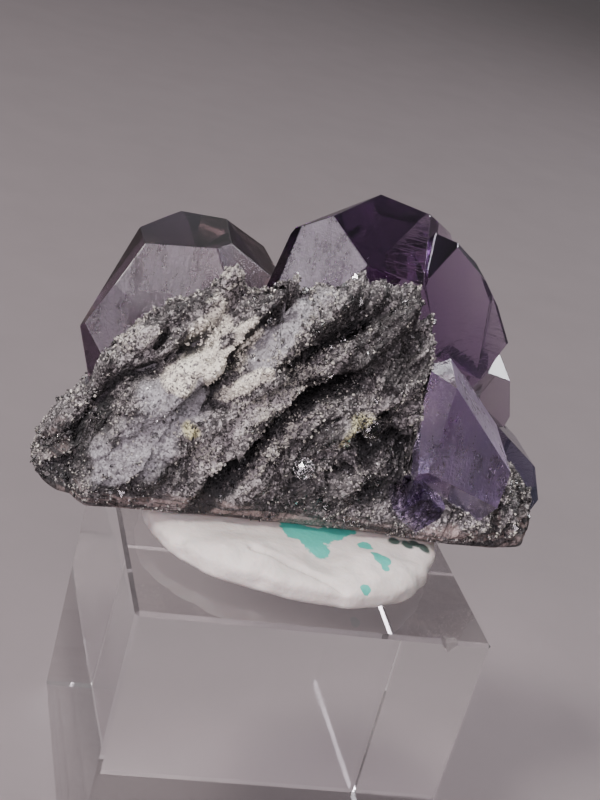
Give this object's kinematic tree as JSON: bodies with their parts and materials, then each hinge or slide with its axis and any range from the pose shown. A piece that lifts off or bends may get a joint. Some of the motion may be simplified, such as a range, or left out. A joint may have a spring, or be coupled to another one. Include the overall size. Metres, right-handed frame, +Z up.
{
  "type": "mineral specimen",
  "caption": "Smoky purple fluorite crystals grown in a layered grey matrix, held by a pad of white putty on a clear square block.",
  "frame": {"origin": "centre of the acrylic block's bottom face, on the surface it stands on", "axes": "+Z up; the specimen's crusted front faces -Y; +X to the right seen from the front"},
  "size_m": [0.0612, 0.0446, 0.0749],
  "materials": {
    "acrylic": "clear, polished",
    "putty": "matte, soft",
    "matrix": "rough, granular, glittering",
    "left_crystal": "smoky, frosted on its front face",
    "right_crystal": "dark purple, part frosted",
    "front_crystal": "pale lavender, veiled",
    "corner_crystal": "dark blue-grey",
    "smoky_crystal": "smoky, clear",
    "rear_fluorite": "smoky",
    "clear_bead": "clear"
  },
  "bodies": {
    "root": {"acrylic_block": "acrylic", "putty": "putty", "matrix": "matrix", "left_crystal": "left_crystal", "right_crystal": "right_crystal", "front_crystal": "front_crystal", "smoky_crystal": "smoky_crystal", "corner_crystal": "corner_crystal", "rear_crystal": "rear_fluorite", "low_rear_crystal": "rear_fluorite", "left_rear_crystal": "rear_fluorite", "purple_crystal": "rear_fluorite", "low_bead": "clear_bead", "high_bead": "clear_bead", "clear_prism": "clear_bead"}
  },
  "joints": []
}
